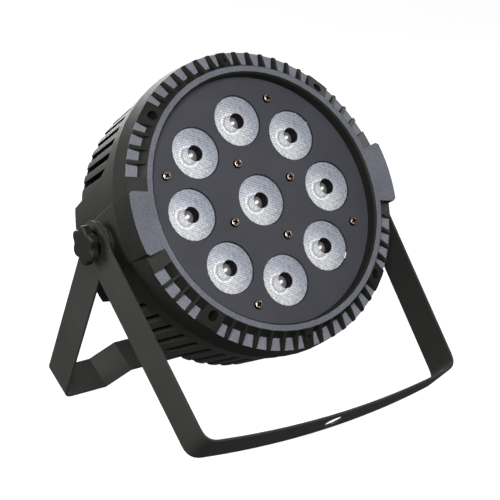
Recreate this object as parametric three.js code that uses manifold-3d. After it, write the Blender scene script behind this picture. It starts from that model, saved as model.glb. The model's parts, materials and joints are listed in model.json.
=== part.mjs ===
// Stage wash light: a round lamp head with nine lenses, carried between two bent brackets.
// Millimetres, +Z up. The head faces -Y and leans back; its own frame has +Z along the optical axis
// and its origin on the pivot that both brackets turn about.
import * as THREE from 'three';
import { mergeVertices } from 'three/addons/utils/BufferGeometryUtils.js';
import Module from 'manifold-3d';

const wasm = await Module();
wasm.setup();

const DEG = Math.PI / 180;
const GAP = 0.3;
const ROUND = 60;
const HALF_TURN = 180;

// Lamp head
const HEAD_TILT = 26.35;
const RING_RADIUS = 102.5;
const RING_TOP = 42.6;
const RING_RIM_TOP = 36.8;
const RING_SKIRT_TOP = 34.5;
const RING_UNDERSIDE = 32.6;
const POCKET_FLOOR = 35.3;
const POCKET_FLOOR_RADIUS = 94;
const COLLAR_INNER = 85.7;
const COLLAR_OUTER = 90.7;
const COLLAR_LIP_ROUND = 1.2;
const COLLAR_LEDGE = 31;
const BEZEL_BACK = 20.5;
const SKIRT_RADIUS = 104;
const SKIRT_WALL = 2.6;
const SKIRT_STEP = 1.4;
const SEAT_SLOPE_WIDTH = 3.5;
const RIB_PITCH = 6;
const RIB_HALF_ANGLE = 0.55;
const PIN_RIB_HALF_ANGLE = 1.8;
const HOLE_BLOCK_ANGLE = 45;
const HOLE_BLOCK_HALF_ANGLE = 4.6;
const FIRST_POCKET_ANGLE = 18;
const WING_RADIUS = 104.4;
const WING_HALF_ANGLE = 12;
const WING_BEVEL = 2;
const WING_OVERLAP = 0.7;
const PAD_TAPER = 7;
const BEZEL_SCREW_CIRCLE = 95.2;
const BEZEL_SCREW_SEAT = 26;
const BEZEL_SCREW_HOLE_RADIUS = 3.3;
const BEZEL_SCREW_BORE_RADIUS = 1.9;
const BEZEL_SCREW_BOSS_RADIUS = 5.5;
const SCREW_BOSS_BACK = 5;
const SCREW_BORE_BACK = 7;
const PIN_CIRCLE = 96.1;
const PIN_HOLE_RADIUS = 1.3;
const PIN_HOLE_DEPTH = 7;

// Lens plate
const PLATE_RADIUS = 88;
const PLATE_TOP = 33.5;
const PLATE_THICKNESS = 1.5;
const LENS_CIRCLE = 55.7;
const LENS_COUNT_ON_CIRCLE = 8;
const LENS_RADIUS = 17.3;
const LENS_HOLE_RADIUS = 17.9;
const LENS_TOP = 32.4;
const BOARD_TOP = 16.1;
const OUTER_SCREW_CIRCLE = 72.7;
const INNER_SCREW_CIRCLE = 29;
const PLATE_SCREW_ANGLE = 22.5;

// Rear housing
const HOUSING_FRONT = BEZEL_BACK - GAP;
const HOUSING_BACK = -46;
const HOUSING_WALL = 2.6;
const BARREL_FRONT_RADIUS = 103.5;
const BARREL_BACK_RADIUS = 99;
const VENT_FRONT = 8.7;
const VENT_HALF_WIDTH = 93.2;
const VENT_CORNER_WIDTH = 11;
const VENT_CORNER_DEPTH = 16;
const VENT_FRONT_RADIUS = 101.9;
const SHOULDER_RADIUS = 98.6;
const SHOULDER_Z = -37;
const SHOULDER_BACK_RADIUS = 92;
const FIN_DEPTH = 5.4;
const SLOT_WIDTH = 4.4;
const SLOT_LEAN = 28;
const SLOT_REACH = 7.5;
const SLOT_BACK = -39;
const SLOT_FIRST_ANGLE = 27;
const SLOTS_PER_ARC = 22;
const PAD_BACK = -40;
const BOSS_RADIUS = 11;
const BOSS_FACE = 106.3;
const INSERT_RADIUS = 6;
const INSERT_INNER = 90.3;

// Back cover, sunk into the housing's back
const COVER_RADIUS = 89.7;
const COVER_INNER_FACE = HOUSING_BACK + HOUSING_WALL;
const COVER_LEDGE_INNER = 87;
const COVER_SCREW_CIRCLE = 84;
const COVER_SCREW_ANGLES = [90, 210, 330];
const COVER_BOSS_RADIUS = 4.5;
const COVER_BOSS_LENGTH = 9;
const COVER_BOSS_BORE = 1.7;
const COVER_HOLE_RADIUS = 1.8;

// Brackets
const BAR_THICKNESS = 1.5;
const FRONT_BAR_WIDTH = 27.5;
const REAR_BAR_WIDTH = 26;
const FRONT_LEAN = 40.12;
const REAR_LEAN = 33.9;
const REAR_ARM_FACE = 110.5;
const FRONT_ARM_FACE = REAR_ARM_FACE + BAR_THICKNESS + GAP;
const ARM_TOE = 3.3;
const ARM_FLAT_LENGTH = 14;
const ARM_TOP = 15;
const PIVOT_HOLE_RADIUS = 4.4;
const CLAMP_HOLE_RADIUS = 7.2;
const FRONT_REACH = 150.6;
const FRONT_BOW = 7.8;
const FRONT_BEND = 9;
const REAR_RISE = 12.5;
const REAR_END_LENGTH = 33.5;
const REAR_STEP_LENGTH = 17.5;
const REAR_BEND = 6.5;
// Both brackets end at the same height, so the light stands level on them.
const STAND_HEIGHT = (FRONT_REACH + FRONT_BOW) * Math.cos(FRONT_LEAN * DEG)
  + (FRONT_BAR_WIDTH / 2) * Math.sin(FRONT_LEAN * DEG);
const REAR_REACH = (STAND_HEIGHT - (REAR_BAR_WIDTH / 2) * Math.sin(REAR_LEAN * DEG))
  / Math.cos(REAR_LEAN * DEG);

// Knobs and what they clamp
const STUD_RADIUS = 4;
const STUD_INNER = 92;
const WASHER_INNER = FRONT_ARM_FACE + GAP;
const WASHER_THICKNESS = 1.2;
const WASHER_RADIUS = 9;
const KNOB_INNER = WASHER_INNER + WASHER_THICKNESS + GAP;
const KNOB_HEAD_INNER = KNOB_INNER + 1.8;
const KNOB_FACE = KNOB_HEAD_INNER + 5.6;
const KNOB_HUB_RADIUS = 7.6;
const KNOB_RADIUS = 11.9;
const KNOB_LOBE = 1.3;
const KNOB_LOBES = 6;
const KNOB_SKIN = 2;

// Back wall fittings
const FAN_CENTRE_Y = 10;
const FAN_SIZE = 60;
const FAN_FRONT = -28;
const FAN_BACK = -43;
const FAN_OPENING = 27;
const PANEL_CENTRE_Y = 61;
const PANEL_WIDTH = 78;
const PANEL_HEIGHT = 30;
const CONNECTOR_ROW_Y = -52;
const FITTING_SEAT = HOUSING_BACK - GAP;
const FLANGE_THICKNESS = 2;
const BUTTON_RADIUS = 3.2;
const BUTTON_ROW_Y = PANEL_CENTRE_Y - 8.5;
const BUTTON_PITCH = 14;
const DMX_SPOTS = [-46, -15.4];
const DMX_BARREL = 11.6;
const POWER_SPOTS = [15.4, 46];
const POWER_BODY_WIDTH = 25.6;
const POWER_BODY_HEIGHT = 18.6;
const CUTOUT_PLAY = 0.4;
const FUSE_SPOT = [62, 0];
const EYE_SPOT = [-58, 6];
const EYE_HALF_WIDTH = 7;

function material(color, roughness, metalness) {
  return new THREE.MeshStandardMaterial({ color, roughness, metalness });
}

const bezelPlastic = () => material(0x3a3a3e, 0.62, 0);
const housingPlastic = () => material(0x37372f, 0.6, 0);
const plateFinish = () => material(0x3c3c42, 0.75, 0.1);
const powderCoat = () => material(0x34352f, 0.55, 0.3);
const knobPlastic = () => material(0x1d1e1c, 0.5, 0);
const clearPlastic = () => material(0xdfe2e6, 0.15, 0);
const bronzeScrew = () => material(0xa8835a, 0.35, 1);
const steel = () => material(0x9a9a98, 0.35, 1);
const aluminium = () => material(0xb4b6b8, 0.4, 1);
const brass = () => material(0xb08d3c, 0.35, 1);
const blackPlastic = () => material(0x191919, 0.45, 0);
const rubber = () => material(0x141414, 0.85, 0);
const circuitGreen = () => material(0x1f5a37, 0.5, 0);
const displayGlass = () => material(0x0c1013, 0.1, 0);

// Welds a geometry and drops the triangles that have no area.
function weld(geometry) {
  const bare = geometry.clone();
  bare.deleteAttribute('normal');
  bare.deleteAttribute('uv');
  const welded = mergeVertices(bare, 1e-4);
  const corners = welded.index.array;
  const kept = [];
  for (let i = 0; i < corners.length; i += 3) {
    const [a, b, c] = [corners[i], corners[i + 1], corners[i + 2]];
    if (a !== b && b !== c && c !== a) {
      kept.push(a, b, c);
    }
  }
  welded.setIndex(kept);
  return welded;
}

function toSolid(geometry) {
  const welded = weld(geometry);
  const mesh = new wasm.Mesh({
    numProp: 3,
    vertProperties: Float32Array.from(welded.attributes.position.array),
    triVerts: Uint32Array.from(welded.index.array),
  });
  mesh.merge();
  return new wasm.Manifold(mesh);
}

function toGeometry(solid) {
  const mesh = solid.getMesh();
  const geometry = new THREE.BufferGeometry();
  geometry.setAttribute('position', new THREE.BufferAttribute(Float32Array.from(mesh.vertProperties), 3));
  geometry.setIndex(new THREE.BufferAttribute(Uint32Array.from(mesh.triVerts), 1));
  geometry.computeVertexNormals();
  return geometry;
}

function join(...solids) {
  return solids.reduce((whole, solid) => whole.add(solid));
}

function cut(solid, ...tools) {
  return tools.reduce((rest, tool) => rest.subtract(tool), solid);
}

// Turns a closed (radius, z) outline about the Z axis. The outline runs anticlockwise.
function revolve(outline, segments = ROUND) {
  const points = outline.map(([radius, z]) => new THREE.Vector2(radius, z));
  if (outline[0][0] > 0) {
    points.push(points[0].clone());
  }
  const geometry = new THREE.LatheGeometry(points, segments);
  geometry.rotateX(Math.PI / 2);
  return toSolid(geometry);
}

function box(x0, x1, y0, y1, z0, z1) {
  const geometry = new THREE.BoxGeometry(x1 - x0, y1 - y0, z1 - z0);
  geometry.translate((x0 + x1) / 2, (y0 + y1) / 2, (z0 + z1) / 2);
  return toSolid(geometry);
}

function cylinder(radius, z0, z1, x = 0, y = 0, segments = 16) {
  const geometry = new THREE.CylinderGeometry(radius, radius, z1 - z0, segments);
  geometry.rotateX(Math.PI / 2);
  geometry.translate(x, y, (z0 + z1) / 2);
  return toSolid(geometry);
}

// A cylinder along X, for everything on the pivot.
function pivotCylinder(radius, x0, x1, segments = 18) {
  const geometry = new THREE.CylinderGeometry(radius, radius, x1 - x0, segments);
  geometry.rotateZ(-Math.PI / 2);
  geometry.translate((x0 + x1) / 2, 0, 0);
  return toSolid(geometry);
}

function prism(outline, z0, z1) {
  const shape = new THREE.Shape(outline.map(([x, y]) => new THREE.Vector2(x, y)));
  const geometry = new THREE.ExtrudeGeometry(shape, { depth: z1 - z0, bevelEnabled: false });
  geometry.translate(0, 0, z0);
  return toSolid(geometry);
}

function spun(solid, degrees) {
  return solid.rotate([0, 0, degrees]);
}

function polar(radius, degrees) {
  return [radius * Math.cos(degrees * DEG), radius * Math.sin(degrees * DEG)];
}

// The angles of one feature repeated in all four quadrants, mirrored about both axes.
function mirrored(degrees) {
  return [degrees, HALF_TURN - degrees, HALF_TURN + degrees, -degrees];
}

function bezelScrewSpots() {
  return mirrored(HOLE_BLOCK_ANGLE).map((angle) => polar(BEZEL_SCREW_CIRCLE, angle));
}

// One open pocket between two ribs: flat floor, sloped inner wall, open at the rim.
function ringPocket(fromAngle, toAngle) {
  const middle = (fromAngle + toAngle) / 2;
  const halfSpread = ((toAngle - fromAngle) / 2) * DEG;
  const innerHalf = POCKET_FLOOR_RADIUS * Math.tan(halfSpread);
  const topRadius = COLLAR_OUTER + 0.2;
  const outline = [
    [POCKET_FLOOR_RADIUS, POCKET_FLOOR],
    [RING_RADIUS + 4, POCKET_FLOOR],
    [RING_RADIUS + 4, RING_TOP + 2],
    [topRadius - 1.6, RING_TOP + 2],
    [topRadius, RING_TOP],
  ];
  const geometry = new THREE.ExtrudeGeometry(
    new THREE.Shape(outline.map(([x, y]) => new THREE.Vector2(x, y))),
    { depth: 2 * innerHalf, bevelEnabled: false },
  );
  geometry.translate(0, 0, -innerHalf);
  geometry.rotateX(Math.PI / 2);
  return spun(toSolid(geometry), middle);
}

function pocketEdges() {
  const edges = [];
  const ribs = [24, 30, 36].map((angle) => [angle - RIB_HALF_ANGLE, angle + RIB_HALF_ANGLE]);
  ribs.push([HOLE_BLOCK_ANGLE - HOLE_BLOCK_HALF_ANGLE, HOLE_BLOCK_ANGLE + HOLE_BLOCK_HALF_ANGLE]);
  for (let angle = 54; angle < 90; angle += RIB_PITCH) {
    ribs.push([angle - RIB_HALF_ANGLE, angle + RIB_HALF_ANGLE]);
  }
  ribs.push([90 - PIN_RIB_HALF_ANGLE, 90]);
  let start = FIRST_POCKET_ANGLE;
  for (const [near, far] of ribs) {
    edges.push([start, near]);
    start = far;
  }
  return edges;
}

function allPockets() {
  const pockets = [];
  for (const [from, to] of pocketEdges()) {
    pockets.push(ringPocket(from, to));
    pockets.push(ringPocket(HALF_TURN - to, HALF_TURN - from));
    pockets.push(ringPocket(HALF_TURN + from, HALF_TURN + to));
    pockets.push(ringPocket(-to, -from));
  }
  return pockets;
}

// A raised side pad: an arc outside with bevelled long edges, reaching in to `innerRadius`.
function padGeometry(innerRadius, z0, z1) {
  const bevelAngle = WING_BEVEL / WING_RADIUS / DEG;
  const arcSteps = 6;
  const outline = [polar(innerRadius, -WING_HALF_ANGLE), polar(WING_RADIUS - WING_BEVEL, -WING_HALF_ANGLE)];
  for (let i = 0; i <= arcSteps; i += 1) {
    outline.push(polar(WING_RADIUS, (WING_HALF_ANGLE - bevelAngle) * ((2 * i) / arcSteps - 1)));
  }
  outline.push(polar(WING_RADIUS - WING_BEVEL, WING_HALF_ANGLE), polar(innerRadius, WING_HALF_ANGLE));
  const shape = new THREE.Shape(outline.map(([x, y]) => new THREE.Vector2(x, y)));
  const geometry = new THREE.ExtrudeGeometry(shape, { depth: z1 - z0, bevelEnabled: false });
  geometry.translate(0, 0, z0);
  return geometry;
}

// Narrows a pad towards the back, closing each long edge in by `degrees`.
function narrowTowardsBack(geometry, frontZ, degrees) {
  const halfHeight = WING_RADIUS * Math.sin(WING_HALF_ANGLE * DEG);
  const position = geometry.attributes.position;
  for (let i = 0; i < position.count; i += 1) {
    const inset = Math.tan(degrees * DEG) * (frontZ - position.getZ(i));
    position.setY(i, position.getY(i) * (1 - inset / halfHeight));
  }
  return geometry;
}

function onBothSides(solid) {
  return [solid, spun(solid, HALF_TURN)];
}

function frontBezel() {
  const skirtInner = SKIRT_RADIUS - SKIRT_WALL;
  const seatRadius = PLATE_RADIUS + 1;
  const lipBottom = PLATE_TOP + GAP;
  const ring = revolve([
    [COLLAR_INNER, lipBottom],
    [seatRadius, lipBottom],
    [seatRadius, COLLAR_LEDGE],
    [seatRadius + SEAT_SLOPE_WIDTH, RING_UNDERSIDE],
    [skirtInner - SKIRT_STEP, RING_UNDERSIDE],
    [skirtInner, BEZEL_BACK],
    [SKIRT_RADIUS, BEZEL_BACK],
    [RING_RADIUS, RING_SKIRT_TOP],
    [RING_RADIUS, RING_RIM_TOP],
    [COLLAR_OUTER, RING_TOP],
    [COLLAR_INNER + COLLAR_LIP_ROUND, RING_TOP],
    [COLLAR_INNER, RING_TOP - COLLAR_LIP_ROUND],
  ]);
  const wings = onBothSides(toSolid(padGeometry(COLLAR_OUTER - WING_OVERLAP, RING_UNDERSIDE, RING_TOP)));
  const skirtPads = onBothSides(toSolid(padGeometry(skirtInner - SKIRT_STEP, BEZEL_BACK, RING_UNDERSIDE + 1)));
  const bosses = bezelScrewSpots().map(([x, y]) => (
    cylinder(BEZEL_SCREW_BOSS_RADIUS, BEZEL_BACK, RING_UNDERSIDE + 1, x, y)
  ));
  const bores = bezelScrewSpots().flatMap(([x, y]) => [
    cylinder(BEZEL_SCREW_HOLE_RADIUS, BEZEL_SCREW_SEAT, RING_TOP + 1, x, y),
    cylinder(BEZEL_SCREW_BORE_RADIUS, BEZEL_BACK - 1, BEZEL_SCREW_SEAT + 1, x, y, 12),
  ]);
  const pins = [90, -90].map((angle) => {
    const [x, y] = polar(PIN_CIRCLE, angle);
    return cylinder(PIN_HOLE_RADIUS, RING_TOP - PIN_HOLE_DEPTH, RING_TOP + 1, x, y, 10);
  });
  return cut(join(ring, ...wings, ...skirtPads, ...bosses), ...allPockets(), ...bores, ...pins);
}

function lensCentres() {
  const centres = [[0, 0]];
  for (let i = 0; i < LENS_COUNT_ON_CIRCLE; i += 1) {
    centres.push(polar(LENS_CIRCLE, (360 / LENS_COUNT_ON_CIRCLE) * i));
  }
  return centres;
}

function plateScrewCentres() {
  const centres = [];
  for (let quadrant = 0; quadrant < 4; quadrant += 1) {
    centres.push(polar(OUTER_SCREW_CIRCLE, 67.5 + 90 * quadrant));
    centres.push(polar(INNER_SCREW_CIRCLE, PLATE_SCREW_ANGLE + 90 * quadrant));
  }
  return centres;
}

function circlePath(x, y, radius, segments) {
  const points = [];
  for (let i = 0; i < segments; i += 1) {
    const [dx, dy] = polar(radius, (360 / segments) * i);
    points.push(new THREE.Vector2(x + dx, y + dy));
  }
  return points;
}

function ledPlate() {
  const shape = new THREE.Shape(circlePath(0, 0, PLATE_RADIUS, ROUND));
  for (const [x, y] of lensCentres()) {
    shape.holes.push(new THREE.Path(circlePath(x, y, LENS_HOLE_RADIUS, 24)));
  }
  for (const [x, y] of plateScrewCentres()) {
    shape.holes.push(new THREE.Path(circlePath(x, y, 1.8, 8)));
  }
  const geometry = new THREE.ExtrudeGeometry(shape, { depth: PLATE_THICKNESS, bevelEnabled: false });
  geometry.translate(0, 0, PLATE_TOP - PLATE_THICKNESS);
  return toSolid(geometry);
}

// A collimating lens: disc front with a round recess, tapering to its emitter.
function lens(x, y) {
  const seat = 18;
  return revolve([
    [0, seat],
    [7, seat],
    [LENS_RADIUS, LENS_TOP - 2.2],
    [LENS_RADIUS, LENS_TOP],
    [5.4, LENS_TOP],
    [5, LENS_TOP - 7],
    [0, LENS_TOP - 7],
  ], 24).translate([x, y, 0]);
}

// A pan-head screw, head up.
function panScrew(headRadius, headHeight, shaftRadius, shaftLength, x, y, seat) {
  return revolve([
    [0, seat - shaftLength],
    [shaftRadius, seat - shaftLength],
    [shaftRadius, seat],
    [headRadius, seat],
    [headRadius, seat + headHeight * 0.55],
    [headRadius * 0.7, seat + headHeight],
    [0, seat + headHeight],
  ], 10).translate([x, y, 0]);
}

function plateScrew(x, y) {
  const [headRadius, headHeight, seat] = [3, 2.1, PLATE_TOP + GAP];
  const arm = headRadius * 0.62;
  const half = headRadius * 0.15;
  const recessFloor = seat + headHeight * 0.45;
  const recessTop = seat + headHeight + 1;
  const across = box(-arm, arm, -half, half, recessFloor, recessTop);
  const along = box(-half, half, -arm, arm, recessFloor, recessTop);
  const screw = panScrew(headRadius, headHeight, 1.25, 7, 0, 0, seat);
  return spun(cut(screw, across, along), 30).translate([x, y, 0]);
}

function ledBoard() {
  const thickness = 1.6;
  const disc = cylinder(80, BOARD_TOP - thickness, BOARD_TOP, 0, 0, 40);
  const emitters = lensCentres().map(([x, y]) => (
    box(x - 2, x + 2, y - 2, y + 2, BOARD_TOP - 0.2, BOARD_TOP + 1.4)
  ));
  const standoffs = plateScrewCentres().map(([x, y]) => {
    const top = PLATE_TOP - PLATE_THICKNESS - GAP;
    const post = cylinder(3.2, BOARD_TOP - 0.2, top, x, y, 6);
    return cut(post, cylinder(1.7, top - 9, top + 1, x, y, 6));
  });
  return join(disc, ...emitters, ...standoffs);
}

function heatSink() {
  const top = BOARD_TOP - 1.6 - GAP;
  const base = top - 5;
  const finBottom = -10;
  const finCount = 13;
  const finPitch = 12;
  const disc = cylinder(82, base, top, 0, 0, 40);
  const fins = [];
  for (let i = 0; i < finCount; i += 1) {
    const x = (i - (finCount - 1) / 2) * finPitch;
    const reach = Math.sqrt(80 * 80 - x * x);
    fins.push(box(x - 0.9, x + 0.9, -reach, reach, finBottom, base + 0.5));
  }
  return join(disc, ...fins);
}

// The stretch of the barrel, above and below, that is sunk a little and slotted for air. Seen along
// Y it is a rectangle with its two front corners rounded off.
function ventZone(inset) {
  const side = VENT_HALF_WIDTH - inset;
  const front = VENT_FRONT - inset;
  const back = HOUSING_BACK - 2;
  const halfLength = 120;
  const shape = new THREE.Shape();
  shape.moveTo(-side, back);
  shape.lineTo(side, back);
  shape.lineTo(side, front - VENT_CORNER_DEPTH);
  shape.quadraticCurveTo(side, front, side - VENT_CORNER_WIDTH, front);
  shape.lineTo(VENT_CORNER_WIDTH - side, front);
  shape.quadraticCurveTo(-side, front, -side, front - VENT_CORNER_DEPTH);
  const options = { depth: 2 * halfLength, curveSegments: 5, bevelEnabled: false };
  const geometry = new THREE.ExtrudeGeometry(shape, options);
  geometry.translate(0, 0, -halfLength);
  geometry.rotateX(Math.PI / 2);
  return toSolid(geometry);
}

// Everything outside the sunk surface: the barrel's slope and the chamfer round its back edge.
function outsideVentSurface() {
  const beyond = 120;
  return revolve([
    [SHOULDER_BACK_RADIUS - 0.8, HOUSING_BACK - 1],
    [beyond, HOUSING_BACK - 1],
    [beyond, VENT_FRONT + 1],
    [VENT_FRONT_RADIUS, VENT_FRONT + 1],
    [SHOULDER_RADIUS, SHOULDER_Z],
    [SHOULDER_BACK_RADIUS, HOUSING_BACK],
  ]);
}

function ventSlots() {
  const slots = [];
  for (const arc of [0, HALF_TURN]) {
    for (let i = 0; i < SLOTS_PER_ARC; i += 1) {
      const angle = arc + SLOT_FIRST_ANGLE + RIB_PITCH * i;
      const blade = box(-SLOT_REACH, 10, -SLOT_WIDTH / 2, SLOT_WIDTH / 2, SLOT_BACK, VENT_FRONT + 1);
      const leaned = spun(blade, SLOT_LEAN).translate([SHOULDER_RADIUS, 0, 0]);
      slots.push(spun(leaned, angle));
    }
  }
  return join(...slots);
}

function coverScrewSpots() {
  return COVER_SCREW_ANGLES.map((angle) => polar(COVER_SCREW_CIRCLE, angle));
}

function rearHousing() {
  const ledge = COVER_INNER_FACE + GAP;
  const barrel = revolve([
    [COVER_LEDGE_INNER, ledge],
    [COVER_RADIUS + GAP, ledge],
    [COVER_RADIUS + GAP, HOUSING_BACK],
    [BARREL_BACK_RADIUS, HOUSING_BACK],
    [BARREL_FRONT_RADIUS, HOUSING_FRONT],
    [BARREL_FRONT_RADIUS - HOUSING_WALL, HOUSING_FRONT],
    [BARREL_FRONT_RADIUS - HOUSING_WALL - 0.7, VENT_FRONT + 2],
    [VENT_FRONT_RADIUS - FIN_DEPTH, VENT_FRONT],
    [SHOULDER_RADIUS - FIN_DEPTH, SHOULDER_Z],
    [COVER_RADIUS + GAP, ledge + HOUSING_WALL],
    [COVER_LEDGE_INNER, ledge + HOUSING_WALL],
  ]);
  const sunk = outsideVentSurface().intersect(ventZone(0));
  const slots = ventSlots().intersect(ventZone(1));
  const pad = padGeometry(BARREL_BACK_RADIUS, PAD_BACK, HOUSING_FRONT);
  const pads = onBothSides(toSolid(narrowTowardsBack(pad, HOUSING_FRONT, PAD_TAPER)));
  const bosses = onBothSides(pivotCylinder(BOSS_RADIUS, INSERT_INNER - GAP, BOSS_FACE));
  const bores = onBothSides(pivotCylinder(INSERT_RADIUS + GAP, INSERT_INNER - 1, BOSS_FACE + 1));
  const screwBosses = bezelScrewSpots().map(([x, y]) => (
    cylinder(BEZEL_SCREW_BOSS_RADIUS, SCREW_BOSS_BACK, HOUSING_FRONT, x, y)
  ));
  const screwBores = bezelScrewSpots().map(([x, y]) => (
    cylinder(BEZEL_SCREW_BORE_RADIUS, SCREW_BORE_BACK, HOUSING_FRONT + 1, x, y, 12)
  ));
  const coverBosses = coverScrewSpots().map(([x, y]) => (
    cylinder(COVER_BOSS_RADIUS, ledge, ledge + COVER_BOSS_LENGTH, x, y)
  ));
  const coverBores = coverScrewSpots().map(([x, y]) => (
    cylinder(COVER_BOSS_BORE, ledge - 1, ledge + COVER_BOSS_LENGTH - 1.5, x, y, 10)
  ));
  return cut(
    join(cut(barrel, sunk, slots), ...pads, ...bosses, ...screwBosses, ...coverBosses),
    ...bores,
    ...screwBores,
    ...coverBores,
  );
}

function backCover() {
  const back = HOUSING_BACK - 1;
  const front = COVER_INNER_FACE + 1;
  const disc = cylinder(COVER_RADIUS, HOUSING_BACK, COVER_INNER_FACE, 0, 0, ROUND);
  const fan = cylinder(FAN_OPENING, back, front, 0, FAN_CENTRE_Y, 32);
  const dmx = DMX_SPOTS.map((x) => cylinder(DMX_BARREL + CUTOUT_PLAY, back, front, x, CONNECTOR_ROW_Y, 20));
  const power = POWER_SPOTS.map((x) => box(
    x - POWER_BODY_WIDTH / 2 - CUTOUT_PLAY,
    x + POWER_BODY_WIDTH / 2 + CUTOUT_PLAY,
    CONNECTOR_ROW_Y - POWER_BODY_HEIGHT / 2 - CUTOUT_PLAY,
    CONNECTOR_ROW_Y + POWER_BODY_HEIGHT / 2 + CUTOUT_PLAY,
    back,
    front,
  ));
  const panel = box(-32, 32, PANEL_CENTRE_Y - 13.5, PANEL_CENTRE_Y + 12, back, front);
  const fuse = cylinder(5.4, back, front, ...FUSE_SPOT, 16);
  const eye = [-EYE_HALF_WIDTH, EYE_HALF_WIDTH].map((offset) => (
    cylinder(2.8, back, front, EYE_SPOT[0], EYE_SPOT[1] + offset, 12)
  ));
  const screws = coverScrewSpots().map(([x, y]) => cylinder(COVER_HOLE_RADIUS, back, front, x, y, 10));
  return cut(disc, fan, ...dmx, ...power, panel, fuse, ...eye, ...screws);
}

function controlPanel() {
  const plate = box(
    -PANEL_WIDTH / 2,
    PANEL_WIDTH / 2,
    PANEL_CENTRE_Y - PANEL_HEIGHT / 2,
    PANEL_CENTRE_Y + PANEL_HEIGHT / 2,
    FITTING_SEAT - FLANGE_THICKNESS,
    FITTING_SEAT,
  );
  const [holeBack, holeFront] = [FITTING_SEAT - 3, FITTING_SEAT + 1];
  const windowHole = box(-17.3, 17.3, PANEL_CENTRE_Y - 2.3, PANEL_CENTRE_Y + 10.3, holeBack, holeFront);
  const buttonHoles = buttonSpots().map((x) => cylinder(
    BUTTON_RADIUS + GAP, holeBack, holeFront, x, BUTTON_ROW_Y,
  ));
  return cut(plate, windowHole, ...buttonHoles);
}

function buttonSpots() {
  return [-1.5, -0.5, 0.5, 1.5].map((step) => step * BUTTON_PITCH);
}

function displayWindow() {
  return box(-17, 17, PANEL_CENTRE_Y - 2, PANEL_CENTRE_Y + 10, FITTING_SEAT - 1.6, FITTING_SEAT - 0.2);
}

function displayBoard() {
  const back = -41;
  const board = box(-30, 30, PANEL_CENTRE_Y - 11, PANEL_CENTRE_Y + 11, back, back + 1.6);
  const screen = box(-14, 14, PANEL_CENTRE_Y, PANEL_CENTRE_Y + 8.4, back - 3.4, back + 0.2);
  const chip = box(-6, 6, PANEL_CENTRE_Y - 6, PANEL_CENTRE_Y + 2, back + 1.4, back + 3.2);
  return join(board, screen, chip);
}

function menuButton(x) {
  const cap = cylinder(BUTTON_RADIUS, FITTING_SEAT - 3.8, FITTING_SEAT + 1.2, x, BUTTON_ROW_Y);
  const collar = cylinder(BUTTON_RADIUS + 0.9, FITTING_SEAT + 0.3, FITTING_SEAT + 1.5, x, BUTTON_ROW_Y);
  return join(cap, collar);
}

function dmxFlange(x) {
  const seat = FITTING_SEAT;
  const [bottom, top] = [CONNECTOR_ROW_Y - 15.5, CONNECTOR_ROW_Y + 15.5];
  const flange = box(x - 13, x + 13, bottom, top, seat - FLANGE_THICKNESS, seat);
  const barrel = cylinder(DMX_BARREL, seat - 0.5, seat + 19, x, CONNECTOR_ROW_Y, 20);
  const holes = [[-9.5, 12], [9.5, -12]].map(([dx, dy]) => cylinder(
    1.6, seat - 3, seat + 1, x + dx, CONNECTOR_ROW_Y + dy, 8,
  ));
  return cut(join(flange, barrel), ...holes);
}

// Male socket: an open cup with three pins standing on its floor.
function dmxInput() {
  const x = DMX_SPOTS[0];
  const floor = FITTING_SEAT + 15;
  const cup = cylinder(9.5, FITTING_SEAT - 3, floor, x, CONNECTOR_ROW_Y, 20);
  const pins = [90, 210, 330].map((angle) => {
    const [dx, dy] = polar(4.5, angle);
    return cylinder(1.2, FITTING_SEAT + 4.5, floor + 1, x + dx, CONNECTOR_ROW_Y + dy, 8);
  });
  return join(cut(dmxFlange(x), cup), ...pins);
}

// Female socket: a ring groove round an island with three contact holes, and a notch for the latch.
function dmxOutput() {
  const x = DMX_SPOTS[1];
  const front = FITTING_SEAT - 3;
  const groove = cut(
    cylinder(9.8, front, FITTING_SEAT + 13, x, CONNECTOR_ROW_Y, 20),
    cylinder(7.6, front - 1, FITTING_SEAT + 14, x, CONNECTOR_ROW_Y, 20),
  );
  const contacts = [30, 150, 270].map((angle) => {
    const [dx, dy] = polar(4.5, angle);
    return cylinder(1.4, front, FITTING_SEAT + 10, x + dx, CONNECTOR_ROW_Y + dy, 8);
  });
  const notchTop = CONNECTOR_ROW_Y + 14.4;
  const notch = box(x - 3.8, x + 3.8, CONNECTOR_ROW_Y + 10.4, notchTop, front, FITTING_SEAT + 1);
  return cut(dmxFlange(x), groove, ...contacts, notch);
}

function dmxLatch() {
  const x = DMX_SPOTS[1];
  const back = FITTING_SEAT - FLANGE_THICKNESS - 1.6;
  return box(x - 3.4, x + 3.4, CONNECTOR_ROW_Y + 11.9, CONNECTOR_ROW_Y + 14.1, back, FITTING_SEAT - 0.2);
}

function powerBody(x) {
  const flange = box(
    x - 15, x + 15, CONNECTOR_ROW_Y - 12, CONNECTOR_ROW_Y + 12, FITTING_SEAT - FLANGE_THICKNESS, FITTING_SEAT,
  );
  const body = box(
    x - POWER_BODY_WIDTH / 2,
    x + POWER_BODY_WIDTH / 2,
    CONNECTOR_ROW_Y - POWER_BODY_HEIGHT / 2,
    CONNECTOR_ROW_Y + POWER_BODY_HEIGHT / 2,
    FITTING_SEAT - 0.5,
    FITTING_SEAT + 18,
  );
  return join(flange, body);
}

function powerBladeSpots(x) {
  return [[x - 6, CONNECTOR_ROW_Y - 2], [x, CONNECTOR_ROW_Y + 2], [x + 6, CONNECTOR_ROW_Y - 2]];
}

function powerInlet() {
  const x = POWER_SPOTS[0];
  const floor = FITTING_SEAT + 15;
  const cavity = box(x - 11, x + 11, CONNECTOR_ROW_Y - 7.5, CONNECTOR_ROW_Y + 7.5, FITTING_SEAT - 3, floor);
  const blades = powerBladeSpots(x).map(([bx, by]) => (
    box(bx - 1, bx + 1, by - 2, by + 2, FITTING_SEAT + 5, floor + 1)
  ));
  return join(cut(powerBody(x), cavity), ...blades);
}

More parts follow.
